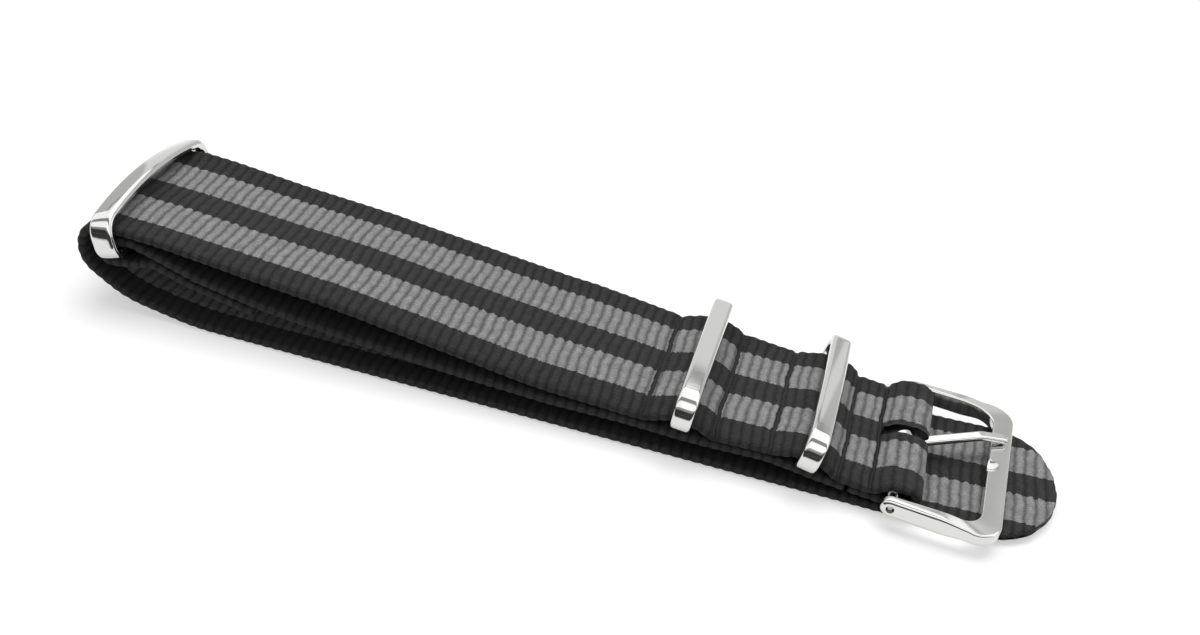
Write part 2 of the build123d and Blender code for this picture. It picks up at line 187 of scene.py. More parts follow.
# Spring bar, on the buckle frame's Y axis.
bar_radius = 0.6
bar_clearance = 0.05
tube_wall = 0.2
tube_end_setback = 1.4
swage_length = 0.5
swage_depth = 0.09
swage_lip = 0.12
tip_stem_engagement = 2.0
tip_stem_clearance = 0.03
tip_flange_radius = 0.575
tip_flange_thickness = 0.25
tip_flange_gap = 0.1
tip_edge = 0.05
tip_pin_radius = 0.4
tip_pin_recess = 0.3
wire_diameter = 0.12
coil_turns = 17
coil_end_gap = 0.02
coil_steps_per_turn = 20
wire_sides = 8

# How finely round shapes are divided, and from which angle an edge between faces is sharp.
round_steps = 48
drill_steps = 40
ball_rings = 24
edge_steps = 6
tongue_edge_steps = 4
sharp_angle = 35
tongue_sharp_angle = 40

# The studio that the polished metal mirrors, by angle over the strap: from the back wall at 0,
# over the head at 90, to the dark room in front at 180.
studio_levels = (
    (0, 0.92), (12, 0.9), (36.4, 0.92), (37.2, 0.42), (39.2, 0.42), (40.2, 2.0), (94, 2.0),
    (97, 0.45), (113, 0.45), (117, 2.0), (146, 2.0), (149, 0.6), (157, 0.5), (162, 0.06),
    (180, 0.08),
)
# The same by compass direction, from straight behind the strap: darker panels at the sides.
studio_sides = (
    (-45, 0.66), (-38.4, 0.66), (-37.8, 1.0), (9.4, 1.0), (10.2, 0.63), (13.5, 0.63), (14.1, 1.0),
    (16.9, 1.0), (17.5, 0.7), (45, 0.8),
)
studio_sides_span = 90
fill_level = 0.42
# For mirror rays the table fades to a painted dark this far in front of the strap: a painted reflection
# of a dark room.
painted_reflection_front = (-28, -38)
table_reach_m = 3.0
table_drop_m = 0.00002
table_white_m = (0.16, 0.3)
softbox_place_m = (-0.05, 0.12, 0.55)
softbox_aim_m = (-0.03, 0, 0)
softbox_size_m = (0.6, 0.45)
softbox_watts = 2.9

buckle_place = (
    Matrix.Translation((0, frame_place_across, pivot_height))
    @ Matrix.Rotation(radians(frame_yaw), 4, "Z")
    @ Matrix.Rotation(radians(frame_dip), 4, "Y")
)
shoulder_x = front_edge - front_bar_width

# The Mix node's colour sockets, by number, because its other kinds share their names.
colour_a, colour_b, mixed_colour = 6, 7, 2
# Settings that several nodes share.
add, multiply, multiply_add, absolute, sine, arctan2 = (
    {"operation": name} for name in ("ADD", "MULTIPLY", "MULTIPLY_ADD", "ABSOLUTE", "SINE", "ARCTAN2")
)
smooth_step = {"interpolation_type": "SMOOTHSTEP"}
mix_colours = {"data_type": "RGBA"}
multiply_colours = {"data_type": "RGBA", "blend_type": "MULTIPLY"}
noise_span = {"From Min": 0.3, "From Max": 0.7}  # between which a noise texture mostly stays


def linear(hex_colour):
    """An sRGB hex colour as the linear values that Blender's sockets take."""
    channels = []
    for start in (1, 3, 5):
        value = int(hex_colour[start:start + 2], 16) / 255
        channels.append(value / 12.92 if value <= 0.04045 else ((value + 0.055) / 1.055) ** 2.4)
    return (*channels, 1.0)


def add_node(tree, kind, inputs=(), settings=(), output=0):
    """Adds a node with its settings, and its sockets set to values or linked; gives an output."""
    made = tree.nodes.new("ShaderNode" + kind)
    for name, value in dict(settings).items():
        setattr(made, name, value)
    for socket, value in dict(inputs).items():
        if isinstance(value, bpy.types.NodeSocket):
            tree.links.new(value, made.inputs[socket])
        else:
            made.inputs[socket].default_value = value
    return made.outputs[output] if made.outputs else made


white = linear("#ffffff")


def new_material(name):
    """A material without nodes, and the function that adds them to it."""
    material = bpy.data.materials.new(name)
    material.use_nodes = True
    material.node_tree.nodes.clear()
    return material, partial(add_node, material.node_tree)


def woven_nylon():
    """Nylon webbing, woven with thick weft cords under fine dyed warp threads.

    Black with two grey stripes, whose warp swells over each cord, so that their edges are
    scalloped. The furrows between the cords are darkened with painted shade. Soft all over and
    never glossy, except where the welding edge and the hot punches have melted it to a dark
    shiny skin. Its patterns are drawn in the webbing's own millimetres. The fibres are really
    about 0.03 mm thick, and are drawn at 0.2 mm so that they show."""
    black = "#333334"
    grey = "#8c8c8c"
    melted = "#121212"
    dye_patches_per_mm = 0.9
    fibres_per_mm = 5.0
    yarns_per_mm = 2.0
    fibre_height = 0.05
    material, node = new_material("woven_nylon_webbing")
    place = node("UVMap", settings={"uv_map": "weave_mm"})
    split = node("SeparateXYZ", {0: place}).node
    along, across = split.outputs["X"], split.outputs["Y"]
    turn = node("Math", {0: along, 1: pi / rib_pitch}, multiply)
    wave = node("Math", {0: turn}, sine)
    cord = node("Math", {0: wave}, absolute)
    cord = node("Math", {0: cord, 1: 1.2}, {"operation": "POWER"})
    uneven, fibres, yarn = (
        node("TexNoise", {"Vector": place, "Scale": scale, "Detail": detail})
        for scale, detail in ((dye_patches_per_mm, 2.0), (fibres_per_mm, 3.0), (yarns_per_mm, 1.0))
    )

    # The stripe's edges bulge by a sixth of a millimetre over each cord, and are a little ragged.
    swell = node("Math", {0: cord, 1: 0.17, 2: -0.15}, multiply_add)
    ragged = node("Math", {0: fibres, 1: yarn}, add)
    ragged = node("Math", {0: ragged, 1: 0.5, 2: -0.5}, multiply_add)
    swell = node("Math", {0: swell, 1: ragged}, add)
    side = node("Math", {0: across}, absolute)
    inner = node("Math", {0: side, 1: swell}, add)
    outer = node("Math", {0: side, 1: swell}, {"operation": "SUBTRACT"})
    inside, outside = (
        node("MapRange", {"Value": value, "From Min": edge - blur, "From Max": edge + blur}, smooth_step)
        for value, edge, blur in (
            (inner, stripe_inner_edge, stripe_edge_blur), (outer, stripe_outer_edge, -stripe_edge_blur)
        )
    )
    stripe = node("Math", {0: inside, 1: outside}, multiply)
    colour = node(
        "Mix", {0: stripe, colour_a: linear(black), colour_b: linear(grey)}, mix_colours, mixed_colour
    )

    # Warp threads lie side by side and step by half a thread from one cord to the next.
    cord_number = node("Math", {0: along, 1: 1 / rib_pitch}, multiply)
    cord_number = node("Math", {0: cord_number}, {"operation": "FLOOR"})
    step = node("Math", {0: cord_number, 1: pi / 2}, multiply)
    thread = node("Math", {0: across, 1: pi / warp_pitch}, multiply)
    thread = node("Math", {0: thread, 1: step}, add)
    thread = node("Math", {0: thread}, sine)
    thread = node("Math", {0: thread}, absolute)

    # Painted shade in the furrows between the cords, with the threads and uneven dye, darkens the colour.
    painted_furrow_shade = node(
        "MapRange", {"Value": cord, "From Min": 0.0, "From Max": 0.85, "To Min": 0.4, "To Max": 1.0}
    )
    threads = node("MapRange", {"Value": thread, "To Min": 0.84, "To Max": 1.04})
    dye = node("MapRange", {"Value": uneven, **noise_span, "To Min": 0.82, "To Max": 1.14})
    fluff = node("MapRange", {"Value": fibres, **noise_span, "To Min": 0.68, "To Max": 1.3})
    dye = node("Math", {0: dye, 1: fluff}, multiply)
    shade = node("Math", {0: painted_furrow_shade, 1: threads}, multiply)
    shade = node("Math", {0: shade, 1: dye}, multiply)
    colour = node("Mix", {0: 1.0, colour_a: colour, colour_b: shade}, multiply_colours, mixed_colour)

    # Melted skin: the attribute says how near a weld, hole, slit or sealed end is.
    melt = node("Attribute", settings={"attribute_name": "melted"}, output="Fac")
    melt = node("Math", {0: melt, 1: ragged}, add)
    melt = node("MapRange", {"Value": melt, "From Min": 0.42, "From Max": 0.62}, smooth_step)
    colour = node("Mix", {0: melt, colour_a: colour, colour_b: linear(melted)}, mix_colours, mixed_colour)
    roughness = node("MapRange", {"Value": melt, "To Min": 0.82, "To Max": 0.42})
    height = node("Math", {0: fibres, 1: 0.5, 2: thread}, multiply_add)
    relief = node("Bump", {"Height": height, "Strength": 0.55, "Distance": fibre_height * mm})
    shader = node("BsdfPrincipled", {
        "Base Color": colour, "Roughness": roughness, "Normal": relief,
        "Sheen Weight": 0.03, "Sheen Roughness": 0.5, "Specular IOR Level": 0.2,
    })
    node("OutputMaterial", {"Surface": shader})
    return material


def bare_steel(node, hex_colour, haze, sharpest, haziest, relief):
    """Joins the nodes of bare steel, hazed by a noise pattern, to its material's output."""
    roughness = node("MapRange", {"Value": haze, **noise_span, "To Min": sharpest, "To Max": haziest})
    shader = node("BsdfPrincipled", {
        "Base Color": linear(hex_colour), "Metallic": 1.0, "Roughness": roughness, "Normal": relief,
    })
    node("OutputMaterial", {"Surface": shader})


def polished_stainless_steel(name, sharpest, haziest):
    """Stainless steel, blanked from strip, bent and tumble-polished: bright and neutral, with
    sharp reflections that handling hazes in patches of 4 mm.

    The rings come out of the tumbler brighter than the stamped buckle, so the roughness is
    given. The tumbler's scratches are finer than they are drawn: 0.4 mm apart and 3.3 mm long."""
    steel = "#d5d5d3"
    haze_patches_per_m = 260.0
    scratches_per_m = (300.0, 2500.0, 2500.0)
    scratch_depth = 0.02
    material, node = new_material(name)
    place = node("TexCoord", output="Object")
    haze = node("TexNoise", {"Vector": place, "Scale": haze_patches_per_m, "Detail": 3.0})
    stretched = node("Mapping", {"Vector": place, "Scale": scratches_per_m})
    scratches = node("TexNoise", {"Vector": stretched, "Scale": 1.0, "Detail": 2.0})
    relief = node("Bump", {"Height": scratches, "Strength": 0.06, "Distance": scratch_depth * mm})
    bare_steel(node, steel, haze, sharpest, haziest, relief)
    return material


def drawn_spring_steel():
    """Stainless steel, drawn and turned: duller, with fine rings round it from the tool, which
    are drawn 0.11 mm apart along the bar."""
    steel = "#b4b4b2"
    rings_per_m = (200.0, 9000.0, 200.0)
    ring_depth = 0.02
    material, node = new_material("drawn_stainless_steel")
    place = node("TexCoord", output="Object")
    stretched = node("Mapping", {"Vector": place, "Scale": rings_per_m})
    turned = node("TexNoise", {"Vector": stretched, "Scale": 1.0, "Detail": 2.0})
    relief = node("Bump", {"Height": turned, "Strength": 0.15, "Distance": ring_depth * mm})
    bare_steel(node, steel, turned, 0.22, 0.38, relief)
    return material


def bent_line(corners, step=line_step):
    """Evenly spaced points along a side view of straight runs and bends.

    Gives how far along the line each is, and its two coordinates."""
    points = [np.array(corners[0][:2])]
    for before, corner, after in zip(corners, corners[1:], corners[2:]):
        here = np.array(corner[:2])
        way_in = here - np.array(before[:2])
        way_out = np.array(after[:2]) - here
        way_in /= np.linalg.norm(way_in)
        way_out /= np.linalg.norm(way_out)
        turn = atan2(way_in[0] * way_out[1] - way_in[1] * way_out[0], way_in @ way_out)
        radius = corner[2]
        start = here - way_in * radius * tan(abs(turn) / 2)
        side = np.array((-way_in[1], way_in[0])) * copysign(1, turn)
        centre = start + side * radius
        for angle in np.linspace(0, abs(turn), max(3, int(abs(turn) * radius / step) + 2)):
            points.append(centre - side * radius * cos(angle) + way_in * radius * sin(angle))
    points.append(np.array(corners[-1][:2]))
    points = np.array(points)
    lengths = np.concatenate(([0], np.cumsum(np.linalg.norm(np.diff(points, axis=0), axis=1))))
    even = np.arange(0, lengths[-1], step)
    return even, np.interp(even, lengths, points[:, 0]), np.interp(even, lengths, points[:, 1])


def softened(values, spread):
    """Values smoothed along the line, as cloth rounds off each change of slope."""
    reach = np.arange(-3 * spread, 3 * spread + 1)
    weights = np.exp(-0.5 * (reach / spread) ** 2)
    weights /= weights.sum()
    rise = values[1] - values[0]
    fall = values[-1] - values[-2]
    before = values[0] + rise * np.arange(-3 * spread, 0)
    after = values[-1] + fall * np.arange(1, 3 * spread + 1)
    return np.convolve(np.concatenate((before, values, after)), weights, mode="valid")


def share_past(place, start, reach):
    """How far places are past a start: 0 up to it, growing to 1 over the reach."""
    return np.clip((place - start) / reach, 0, 1)


def new_object(name, data):
    """An object in the scene, made of a mesh, a camera or a lamp."""
    made = bpy.data.objects.new(name, data)
    bpy.context.scene.collection.objects.link(made)
    return made


def mesh_object(name, vertices, faces, material, body, replaced):
    """A smooth piece of the strap, on its body and in place of the solids that it replaces."""
    mesh = bpy.data.meshes.new(name)
    mesh.from_pydata([tuple(v) for v in vertices], [], [tuple(f) for f in faces])
    mesh.materials.append(material)
    mesh.update()
    made = new_object(name, mesh)
    mesh.shade_smooth()
    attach(made, body)
    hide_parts(*replaced)
    return made


def weave_rows(total, tip):
    """Places of the mesh's rows along a strip: eight to a rib, and more round the tip."""
    phases = np.array(rib_rows) * rib_pitch
    rows = np.concatenate([k * rib_pitch + phases for k in range(int(total / rib_pitch) + 1)])
    if tip:
        rows = np.concatenate((rows, tip * (1 - np.cos(np.linspace(0, 0.9, 12))) ** 1.5))
    rows = np.unique(np.round(rows[rows < total - 0.03], 4))
    return np.append(rows, total)


def weave_columns():
    """Places of its columns across, closer at the middle holes and round the selvedges."""
    half = [0, 0.2, 0.4, 0.6, 0.8, 1.0, 1.25, 1.5, 1.75, 2.0, 2.3, 2.7]
    half += list(np.linspace(3.1, 9.3, 17)) + [selvedge_start, 9.68, 9.82, 9.92, 9.98, half_width]
    half = np.array(half)
    return np.concatenate((-half[:0:-1], half))


def cut_distance(along, across, cuts):
    """Distance from the nearest hole's or slit's edge, negative inside it."""
    nearest = np.full(np.shape(along), 99.0)
    for start, end, middle, radius in cuts:
        past = np.clip(along, start, end)
        nearest = np.minimum(nearest, np.hypot(along - past, across - middle) - radius)
    return nearest


def cut_out(along, across, cuts):
    """Which cells are clear of the holes and the slit, how far each node is from their edges,
    and the nodes' places, with those round a cut drawn onto its edge."""
    distance = cut_distance(along, across, cuts)
    middle_along = (along[1:, 1:] + along[:-1, :-1]) / 2
    middle_across = (across[1:, 1:] + across[:-1, :-1]) / 2
    kept = cut_distance(middle_along, middle_across, cuts) > 0
    counts = np.zeros(along.shape, int)
    held = np.zeros(along.shape, int)
    for rise in (0, 1):
        for run in (0, 1):
            area = (slice(rise, rise + kept.shape[0]), slice(run, run + kept.shape[1]))
            counts[area] += 1
            held[area] += kept
    rim = (held > 0) & (held < counts)
    small = 1e-3
    slope_along = (cut_distance(along + small, across, cuts) - distance) / small
    slope_across = (cut_distance(along, across + small, cuts) - distance) / small
    drawn_along = along - np.where(rim, distance * slope_along, 0)
    drawn_across = across - np.where(rim, distance * slope_across, 0)
    return kept, distance, drawn_along, drawn_across


def weave_depths(along, across, sealed, distance, ribs, tip, welds):
    """Half the thickness, how far the outer and inner faces stand off the middle, with ribs and
    weld grooves, and how far the webbing is melted."""
    selvedge = share_past(np.abs(across), selvedge_start, half_width - selvedge_start)
    thickness = half_webbing * np.sqrt(np.maximum(1 - selvedge ** 2, 0))
    melted = np.clip(1 - np.abs(distance) / punched_melted_reach, 0, 1) ** 0.5 * punched_melted
    if tip:
        near_edge = np.where(along < tip, np.clip(1 - sealed / sealed_edge, 0, 1), 0)
        melted = np.maximum(melted, near_edge)
        rounded = half_webbing * np.sqrt(np.clip(sealed / sealed_edge, 0, 1))
        thickness = np.where(along < tip, rounded, thickness)
    groove = np.zeros(along.shape)
    for weld in welds:
        aside = np.abs(along - weld)
        groove = np.maximum(groove, np.exp(-(aside / weld_half_width) ** 2))
        melted = np.maximum(melted, np.clip(weld_melted - aside / weld_melted_reach, 0, 1))
    relief = rib_depth * (1 - ribs) * (1 - weld_flattening * groove)
    relief = relief * np.minimum(thickness / half_webbing, 1)
    outer = np.maximum(thickness - relief - weld_depth * groove, 0)
    inner = np.maximum(thickness - relief, 0)
    return thickness, outer, inner, melted


def lie_of_strap(x, z, across):
    """How far the strap's twist and its soft selvedges lift a place, and where it is across."""
    twist = np.tan(np.radians(np.interp(x, twist_x, twist_degrees)))
    twist = twist * share_past(z, twisted_above, twisted_over)
    curled = share_past(z, curled_above, curled_over)
    curl = np.interp(x, curl_x, curl_rise) * curled
    droop = np.interp(x, droop_x, droop_fall) * curled
    far = share_past(across, soft_edge_start, soft_edge_reach)
    near = share_past(-across, soft_edge_start, soft_edge_reach)
    lift = across * twist + curl * far ** 1.5 - droop * near ** 1.5
    spread = np.interp(x, spread_x, spread_out) * share_past(z, spread_above, spread_over)
    return lift, across - spread * near


def skin_faces(kept, number, outward):
    """Four-sided faces over the kept cells of one side of the webbing."""
    before, after = number[:-1], number[1:]
    a, b = before[:, :-1][kept], after[:, :-1][kept]
    c, d = after[:, 1:][kept], before[:, 1:][kept]
    return list(zip(a, d, c, b) if outward else zip(a, b, c, d))


def wall_faces(kept, out, into):
    """Walls that close the two ends of a strip and the edges of its holes and slit."""
    padded = np.zeros((kept.shape[0] + 2, kept.shape[1] + 2), bool)
    padded[1:-1, 1:-1] = kept
    faces = []
    for i in range(kept.shape[0] + 1):
        for j in np.nonzero(padded[i, 1:-1] != padded[i + 1, 1:-1])[0]:
            wall = (out[i, j], out[i, j + 1], into[i, j + 1], into[i, j])
            faces.append(wall if padded[i + 1, j + 1] else wall[::-1])
    for j in range(1, kept.shape[1]):
        for i in np.nonzero(padded[1:-1, j] != padded[1:-1, j + 1])[0]:
            wall = (out[i, j], out[i + 1, j], into[i + 1, j], into[i, j])
            faces.append(wall[::-1] if padded[i + 1, j + 1] else wall)
    return faces


def drop_loose_nodes(mesh):
    """Removes the nodes that no face uses, inside the holes and along the selvedges."""
    made = bmesh.new()
    made.from_mesh(mesh)
    loose = [v for v in made.verts if not v.link_faces]
    bmesh.ops.delete(made, geom=loose, context="VERTS")
    made.to_mesh(mesh)
    made.free()


def woven_strip(name, corners, cuts, welds, tip, from_end, replaced, material):
    """One length of webbing with ribs, selvedges, holes and weld grooves, swept along its line.

    Places along it are in millimetres from its start, or from its tip if from_end is true."""
    even, line_x, line_z = bent_line(corners)
    line_x, line_z = softened(line_x, softening_steps), softened(line_z, softening_steps)
    total = even[-1]
    along, across = np.meshgrid(weave_rows(total, tip), weave_columns(), indexing="ij")
    kept, distance, along, across = cut_out(along, across, cuts)

    # The outline narrows to the rounded tip, and each furrow notches the selvedge.
    ribs = np.abs(np.sin(pi * along / rib_pitch)) ** rib_roundness
    edge = share_past(np.abs(across), notched_from, half_width - notched_from) ** 2
    notched = 1 - edge * (1 - ribs) * selvedge_notch / half_width
    width_share = np.ones(along.shape)
    if tip:
        inward = np.clip((tip - along) / tip, 0, 1)
        width_share = np.sqrt(np.maximum(1 - inward ** 2, 0))
    place_across = across * width_share * notched

    # Rows bow a little, as the weft never lies quite straight.
    bow = sum(
        size * np.sin(place_across * turn_across + along * turn_along)
        for size, turn_across, turn_along in weft_bow
    )
    place_along = np.clip(along + bow, 0, total)
    if from_end:
        place_along = total - place_along
    x = np.interp(place_along, even, line_x)
    z = np.interp(place_along, even, line_z)
    ahead_x, ahead_z = np.gradient(line_x), np.gradient(line_z)
    length = np.hypot(ahead_x, ahead_z)
    normal_x = np.interp(place_along, even, ahead_z / length)
    normal_z = np.interp(place_along, even, -ahead_x / length)

    sealed = width_share * half_width - np.abs(place_across)
    thickness, outer, inner, melted = weave_depths(along, across, sealed, distance, ribs, tip, welds)
    lift, place_across = lie_of_strap(x, z, place_across)
    face_out = np.stack((x + normal_x * outer, place_across, z + normal_z * outer + lift), -1)
    face_in = np.stack((x - normal_x * inner, place_across, z - normal_z * inner + lift), -1)

    # Both faces share the nodes of the selvedges, where the thickness comes to nothing.
    number_out = np.arange(along.size).reshape(along.shape)
    number_in = np.where(thickness <= 1e-6, number_out, number_out + along.size)
    faces = skin_faces(kept, number_out, True) + skin_faces(kept, number_in, False)
    faces += wall_faces(kept, number_out, number_in)
    whole = []
    for face in faces:
        once = list(dict.fromkeys(int(n) for n in face))
        if len(once) > 2:
            whole.append(once[::-1] if from_end else once)

    vertices = np.concatenate((face_out.reshape(-1, 3), face_in.reshape(-1, 3))) * mm
    made = mesh_object(name, vertices, whole, material, "strap", replaced)
    mesh = made.data
    weave = mesh.uv_layers.new(name="weave_mm")
    ends = np.empty(len(mesh.loops), int)
    mesh.loops.foreach_get("vertex_index", ends)
    mapped = np.stack((along.ravel(), place_across.ravel()), -1)
    mapped = np.concatenate((mapped, mapped))[ends]
    weave.data.foreach_set("uv", mapped.ravel())
    skin = mesh.attributes.new("melted", "FLOAT", "POINT")
    skin.data.foreach_set("value", np.concatenate((melted.ravel(), melted.ravel())))
    drop_loose_nodes(mesh)


def main_webbing(material):
    """The main strap's webbing, with its slit, its nine holes and its welds."""
    even, line_x, _ = bent_line(main_line)
    loop_end = int(np.argmax(line_x[: len(line_x) // 4]))
    fold = int(np.argmin(line_x))
    upper_run, loop_back = slice(loop_end, fold), slice(0, loop_end)

    def from_tip(x, run):
        """Distance along the strap from its tip to a place X on one of its runs."""
        order = np.argsort(line_x[run])
        return even[-1] - np.interp(x, line_x[run][order], even[run][order])

    cuts = [(
        from_tip(slit_to_x, upper_run) + slit_half_width,
        from_tip(slit_from_x, loop_back) - slit_half_width, slit_middle, slit_half_width,
    )]
    for index in range(hole_count):
        place = first_hole_from_tip + index * hole_pitch
        cuts.append((place, place, 0, hole_radius))
    welds = [from_tip(x, upper_run) for x in weld_x]
    woven_strip("main_webbing", main_line, cuts, welds, tip_length, True, ["main_strap"], material)


def flap_webbing(material):
    """The flap's webbing, under the main strap and round the flap ring."""
    woven_strip("flap_webbing", flap_line, [], [], 0, False, ["flap_strap"], material)


def rounded_section(width, thickness, radius, steps, bulge):
    """A flat band's cross-section with rounded edges and faces that bulge very slightly."""
    corners = []
    for quarter, (side, up) in enumerate(((1, 1), (-1, 1), (-1, -1), (1, -1))):
        centre = (side * (width / 2 - radius), up * (thickness / 2 - radius))
        for step in range(steps + 1):
            angle = (quarter + step / steps) * pi / 2
            corners.append((centre[0] + radius * cos(angle), centre[1] + radius * sin(angle)))
    section = []
    for index, corner in enumerate(corners):
        section.append(corner)
        after = corners[(index + 1) % len(corners)]
        if (index + 1) % (steps + 1) == 0:
            for share in (0.06, 0.35, 0.65, 0.94):
                middle = [a + (b - a) * share for a, b in zip(corner, after)]
                wide = abs(after[0] - corner[0]) > abs(after[1] - corner[1])
                out = 1 if wide else 0
                middle[out] += copysign(bulge * 4 * share * (1 - share), middle[out])
                section.append(tuple(middle))
    return section


def loft_faces(ring_count, ring_size, closed):
    """Faces between rings of nodes: back to the first ring if closed, or with end faces."""
    faces = []
    for i in range(ring_count if closed else ring_count - 1):
        near, far = i * ring_size, ((i + 1) % ring_count) * ring_size
        for j in range(ring_size):
            after = (j + 1) % ring_size
            faces.append((near + j, near + after, far + after, far + j))
    if not closed:
        faces.append(tuple(range(ring_size))[::-1])
        faces.append(tuple(range((ring_count - 1) * ring_size, ring_count * ring_size)))
    return faces


def bent_ring(name, height, crown, width, bulge, lean, place, body, replaced, material):
    """A polished band bent into a closed frame whose upper bar is slightly crowned."""
    half = ring_half_width - band_thickness / 2
    shoulder = height - crown - band_thickness
    low, high = ring_lower_corner - band_thickness / 2, ring_upper_corner - band_thickness / 2
    # The peak's bend takes up three quarters of the crown's own arc.
    top_radius = 0.75 * (half ** 2 + crown ** 2) / (2 * crown)
    corners = (
        (0, 0, 0), (half, 0, low), (half, shoulder, high), (0, shoulder + 2 * crown, top_radius),
        (-half, shoulder, high), (-half, 0, low), (0, 0, 0),
    )
    _, across, up = bent_line(corners, 0.12)
    across, up = across[:-1], up[:-1]
    way_across, way_up = np.roll(across, -1) - np.roll(across, 1), np.roll(up, -1) - np.roll(up, 1)
    way = np.stack((way_across, way_up), -1)
    way /= np.linalg.norm(way, axis=1)[:, None]
    section = rounded_section(width, band_thickness, band_edge_radius, edge_steps, bulge)
    tilt = radians(lean)
    vertices = []
    for y, z, (way_y, way_z) in zip(across, up, way):
        for side, out in section:
            local_y, local_z = y + way_z * out, z - way_y * out
            vertices.append((
                (place[0] + side * cos(tilt) + local_z * sin(tilt)) * mm,
                local_y * mm,
                (place[1] - side * sin(tilt) + local_z * cos(tilt)) * mm,
            ))
    faces = loft_faces(len(across), len(section), True)
    mesh_object(name, vertices, faces, material, body, [replaced])


def outward_faces(mesh):
    """Turns a closed mesh's faces outwards, which an exact boolean needs."""
    made = bmesh.new()
    made.from_mesh(mesh)
    bmesh.ops.recalc_face_normals(made, faces=made.faces)
    made.to_mesh(mesh)
    made.free()


def weighted_smooth(made, angle=sharp_angle):
    """Shades a piece smooth between its sharp edges, with its broad faces kept flat."""
    made.data.shade_smooth()
    made.data.set_sharp_from_angle(angle=radians(angle))
    weigh = made.modifiers.new("even_faces", "WEIGHTED_NORMAL")
    weigh.keep_sharp = True


def combine(made, operation, shapes):
    """Cuts shapes out of a piece, or joins them to it, and makes the result its own mesh.

    Each shape is its name, vertices and faces."""
    tools = []
    for name, vertices, faces in shapes:
        mesh = bpy.data.meshes.new(name)
        mesh.from_pydata(vertices, [], faces)
        outward_faces(mesh)
        tool = new_object(name, mesh)
        change = made.modifiers.new(name, "BOOLEAN")
        change.operation = operation
        change.solver = "EXACT"
        change.object = tool
        tools.append(tool)
    bpy.context.view_layer.update()
    scene_state = bpy.context.evaluated_depsgraph_get()
    result = bpy.data.meshes.new_from_object(made.evaluated_get(scene_state))
    made.modifiers.clear()
    made.data = result
    for tool in tools:
        bpy.data.objects.remove(tool)


def turned_profile(profile, segments=round_steps, closed=False):
    """A turned shape round the Y axis, from (place along, radius) pairs.

    Its two ends are capped, unless closed says that the profile comes back to its start."""
    vertices = []
    for along, radius in profile:
        for k in range(segments):
            angle = 2 * pi * k / segments
            vertices.append((radius * cos(angle), along, radius * sin(angle)))
    return vertices, loft_faces(len(profile), segments, closed)


def ball_shape(centre, radius):
    """A ball, turned round the Y axis, with small flats at its poles."""
    profile = []
    for k in range(1, ball_rings):
        angle = pi * k / ball_rings
        profile.append((-radius * cos(angle), radius * sin(angle)))
    vertices, faces = turned_profile(profile)
    return [(x + centre[0], y + centre[1], z + centre[2]) for x, y, z in vertices], faces


def placed(vertices, matrix):
    """Vertices in metres, from the buckle's own frame in millimetres."""
    return [tuple((matrix @ Vector(v)) * mm) for v in vertices]


def frame_half_height(x):
    """Half the frame's height in side view: round arm end, deep arm, thinner front bar."""
    if x < 0:
        return sqrt(max(arm_half_height ** 2 - x ** 2, 0))
    share = min(max((x - arm_taper_from) / (shoulder_x - arm_taper_from), 0), 1)
    share = share * share * (3 - 2 * share)
    return arm_half_height + (front_bar_half - arm_half_height) * share


def frame_stations():
    """Pairs of inner and outer plan points from one arm's end round the front to the other's."""
    rear_outer = frame_inner_half + arm_thickness
    front_outer = rear_outer + frame_flare
    inner_start = shoulder_x - frame_inner_corner
    outer_start = front_edge - frame_outer_corner
    inner_straight = frame_inner_half - frame_inner_corner
    outer_straight = front_outer - frame_outer_corner

    def outer_edge(x):
        return rear_outer + frame_flare * (x + arm_half_height) / (front_edge + arm_half_height)

    half = []
    for angle in np.linspace(0.06, pi / 2, 14):
        x = -arm_half_height * cos(angle)
        half.append(((x, frame_inner_half), (x, outer_edge(x))))
    for share in np.linspace(0, 1, 15)[1:-1]:
        inner_x, outer_x = inner_start * share, outer_start * share
        half.append(((inner_x, frame_inner_half), (outer_x, outer_edge(outer_x))))
    for angle in np.linspace(pi / 2, 0, 13):
        c, s = cos(angle), sin(angle)
        half.append((
            (inner_start + frame_inner_corner * c, inner_straight + frame_inner_corner * s),
            (outer_start + frame_outer_corner * c, outer_straight + frame_outer_corner * s),
        ))
    for share in (0.75, 0.5, 0.25):
        half.append(((shoulder_x, inner_straight * share), (front_edge, outer_straight * share)))
    middle = [((shoulder_x, 0.0), (front_edge, 0.0))]
    mirrored = [((a, -b), (c, -d)) for (a, b), (c, d) in half[::-1]]
    return half + middle + mirrored


def frame_section(inner, outer):
    """The frame's cross-section between two plan points, with its four corners rounded."""
    across = (outer - inner).normalized()
    section = []
    for side, up in ((1, 1), (0, 1), (0, -1), (1, -1)):
        edge = (inner, outer)[side]
        taper_length = front_edge - arm_taper_from - front_rounding_before_edge
        front = min(max((edge.x - arm_taper_from) / taper_length, 0), 1)
        on_arm, on_front = edge_rounding[side]
        radius = on_arm + (on_front - on_arm) * front
        height = frame_half_height(edge.x)
        drop, inset = radius, 0.0
        if edge.x < 0:
            # The same rounding runs round the arm's end.
            from_end = min((edge.x + arm_half_height) / radius, 1)
            inset = radius * (1 - sqrt(max(1 - (1 - from_end) ** 2, 0)))
            drop = height - sqrt(max((arm_half_height - radius) ** 2 - edge.x ** 2, 0))
        corner = []
        for step in range(edge_steps + 1):
            angle = pi / 2 * step / edge_steps
            out = radius - (radius - inset) * cos(angle)
            corner.append((out, height - drop * (1 - sin(angle))))
        if side != (up > 0):
            corner.reverse()
        for out, rise in corner:
            place = outer - across * out if side else inner + across * out
            section.append((place.x, place.y, up * rise))
    return section


